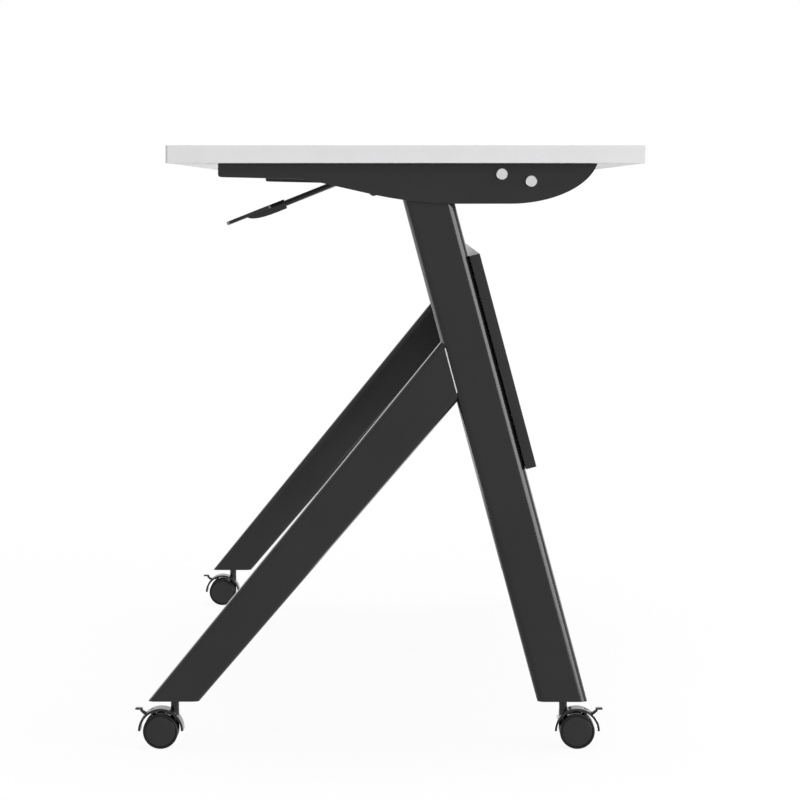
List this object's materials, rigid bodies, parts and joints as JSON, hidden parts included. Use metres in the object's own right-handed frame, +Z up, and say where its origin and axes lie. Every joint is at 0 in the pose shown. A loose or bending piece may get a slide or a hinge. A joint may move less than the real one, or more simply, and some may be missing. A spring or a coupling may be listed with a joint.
{
  "type": "flip top training table",
  "caption": "Rolling training table whose light grey top tips upright on a pivot above black leaning legs, with release paddle, modesty panel and braked twin wheel casters.",
  "frame": {"origin": "on the floor, under the middle of the whole table's outline", "axes": "X runs from the user's edge (-X) to the front edge (+X), Y along the table's length, Z up"},
  "size_m": [0.6456, 1.6, 0.765],
  "materials": {
    "laminate": "satin light grey laminate over a board core",
    "edging": "satin light grey edge band",
    "panel_board": "satin black board",
    "coated_steel": "satin black powder coat",
    "black_plastic": "satin black moulded plastic",
    "tread_plastic": "matte black moulded plastic",
    "light_plastic": "satin light grey plastic",
    "rubber": "matte black rubber",
    "bright_steel": "satin bright steel",
    "plated_steel": "dull plated steel"
  },
  "bodies": {
    "leg_frame": {"crossbeam": "coated_steel", "modesty_panel": "panel_board", "column_right": "coated_steel", "brace_right": "coated_steel", "seam_strip_right": "light_plastic", "foot_plug_front_right": "black_plastic", "foot_plug_user_right": "black_plastic", "hinge_head_right": "coated_steel", "pivot_bush_right": "light_plastic", "rest_pad_right": "rubber", "catch_pin_right": "bright_steel", "caster_stem_user_right": "coated_steel", "caster_stem_front_right": "coated_steel", "column_left": "coated_steel", "brace_left": "coated_steel", "seam_strip_left": "light_plastic", "foot_plug_front_left": "black_plastic", "foot_plug_user_left": "black_plastic", "hinge_head_left": "coated_steel", "pivot_bush_left": "light_plastic", "rest_pad_left": "rubber", "catch_pin_left": "bright_steel", "caster_stem_user_left": "coated_steel", "caster_stem_front_left": "coated_steel"},
    "top": {"table_top": "laminate", "edge_band": "edging", "carrier_right": "coated_steel", "pivot_bolt_right": "bright_steel", "stop_bolt_right": "bright_steel", "carrier_left": "coated_steel", "pivot_bolt_left": "bright_steel", "stop_bolt_left": "bright_steel"},
    "release": {"release_shaft": "plated_steel", "lever_rod": "coated_steel", "lever_paddle": "black_plastic", "latch_hook_right": "coated_steel", "release_spring_right": "plated_steel", "latch_hook_left": "coated_steel", "release_spring_left": "plated_steel"},
    "swivel_user_right": {"caster_hood_user_right": "black_plastic", "caster_axle_user_right": "bright_steel"},
    "wheel_outer_user_right": {"caster_wheel_outer_user_right": "tread_plastic"},
    "wheel_inner_user_right": {"caster_wheel_inner_user_right": "tread_plastic"},
    "brake_user_right": {"brake_pedal_user_right": "black_plastic"},
    "swivel_front_right": {"caster_hood_front_right": "black_plastic", "caster_axle_front_right": "bright_steel"},
    "wheel_outer_front_right": {"caster_wheel_outer_front_right": "tread_plastic"},
    "wheel_inner_front_right": {"caster_wheel_inner_front_right": "tread_plastic"},
    "brake_front_right": {"brake_pedal_front_right": "black_plastic"},
    "swivel_user_left": {"caster_hood_user_left": "black_plastic", "caster_axle_user_left": "bright_steel"},
    "wheel_outer_user_left": {"caster_wheel_outer_user_left": "tread_plastic"},
    "wheel_inner_user_left": {"caster_wheel_inner_user_left": "tread_plastic"},
    "brake_user_left": {"brake_pedal_user_left": "black_plastic"},
    "swivel_front_left": {"caster_hood_front_left": "black_plastic", "caster_axle_front_left": "bright_steel"},
    "wheel_outer_front_left": {"caster_wheel_outer_front_left": "tread_plastic"},
    "wheel_inner_front_left": {"caster_wheel_inner_front_left": "tread_plastic"},
    "brake_front_left": {"brake_pedal_front_left": "black_plastic"}
  },
  "joints": [
    {"name": "top_flip", "type": "hinge", "parent": "leg_frame", "child": "top", "pos_m": [0.143, 0, 0.7297], "axis": [0, 1, 0], "range_deg": [0, 90]},
    {"name": "release_turn", "type": "hinge", "parent": "top", "child": "release", "pos_m": [-0.0462, 0, 0.727], "axis": [0, 1, 0], "range_deg": [0, 18], "stiffness_Nm_per_rad": 0.6, "springref_deg": -20.05},
    {"name": "swivel_user_right", "type": "hinge", "parent": "leg_frame", "child": "swivel_user_right", "pos_m": [-0.27225, -0.74, 0.0511], "axis": [0, 0, 1], "continuous": true},
    {"name": "roll_outer_user_right", "type": "hinge", "parent": "swivel_user_right", "child": "wheel_outer_user_right", "pos_m": [-0.28975, -0.74, 0.0223], "axis": [0, 1, 0], "continuous": true},
    {"name": "roll_inner_user_right", "type": "hinge", "parent": "swivel_user_right", "child": "wheel_inner_user_right", "pos_m": [-0.28975, -0.74, 0.0223], "axis": [0, 1, 0], "continuous": true},
    {"name": "brake_user_right", "type": "hinge", "parent": "swivel_user_right", "child": "brake_user_right", "pos_m": [-0.2845, -0.74, 0.03847], "axis": [0, -1, 0], "range_deg": [0, 7]},
    {"name": "swivel_front_right", "type": "hinge", "parent": "leg_frame", "child": "swivel_front_right", "pos_m": [0.2229, -0.74, 0.0511], "axis": [0, 0, 1], "continuous": true},
    {"name": "roll_outer_front_right", "type": "hinge", "parent": "swivel_front_right", "child": "wheel_outer_front_right", "pos_m": [0.2404, -0.74, 0.0223], "axis": [0, 1, 0], "continuous": true},
    {"name": "roll_inner_front_right", "type": "hinge", "parent": "swivel_front_right", "child": "wheel_inner_front_right", "pos_m": [0.2404, -0.74, 0.0223], "axis": [0, 1, 0], "continuous": true},
    {"name": "brake_front_right", "type": "hinge", "parent": "swivel_front_right", "child": "brake_front_right", "pos_m": [0.23514, -0.74, 0.03847], "axis": [0, 1, 0], "range_deg": [0, 7]},
    {"name": "swivel_user_left", "type": "hinge", "parent": "leg_frame", "child": "swivel_user_left", "pos_m": [-0.27225, 0.74, 0.0511], "axis": [0, 0, 1], "continuous": true},
    {"name": "roll_outer_user_left", "type": "hinge", "parent": "swivel_user_left", "child": "wheel_outer_user_left", "pos_m": [-0.28975, 0.74, 0.0223], "axis": [0, 1, 0], "continuous": true},
    {"name": "roll_inner_user_left", "type": "hinge", "parent": "swivel_user_left", "child": "wheel_inner_user_left", "pos_m": [-0.28975, 0.74, 0.0223], "axis": [0, 1, 0], "continuous": true},
    {"name": "brake_user_left", "type": "hinge", "parent": "swivel_user_left", "child": "brake_user_left", "pos_m": [-0.2845, 0.74, 0.03847], "axis": [0, -1, 0], "range_deg": [0, 7]},
    {"name": "swivel_front_left", "type": "hinge", "parent": "leg_frame", "child": "swivel_front_left", "pos_m": [0.2229, 0.74, 0.0511], "axis": [0, 0, 1], "continuous": true},
    {"name": "roll_outer_front_left", "type": "hinge", "parent": "swivel_front_left", "child": "wheel_outer_front_left", "pos_m": [0.2404, 0.74, 0.0223], "axis": [0, 1, 0], "continuous": true},
    {"name": "roll_inner_front_left", "type": "hinge", "parent": "swivel_front_left", "child": "wheel_inner_front_left", "pos_m": [0.2404, 0.74, 0.0223], "axis": [0, 1, 0], "continuous": true},
    {"name": "brake_front_left", "type": "hinge", "parent": "swivel_front_left", "child": "brake_front_left", "pos_m": [0.23514, 0.74, 0.03847], "axis": [0, 1, 0], "range_deg": [0, 7]}
  ]
}
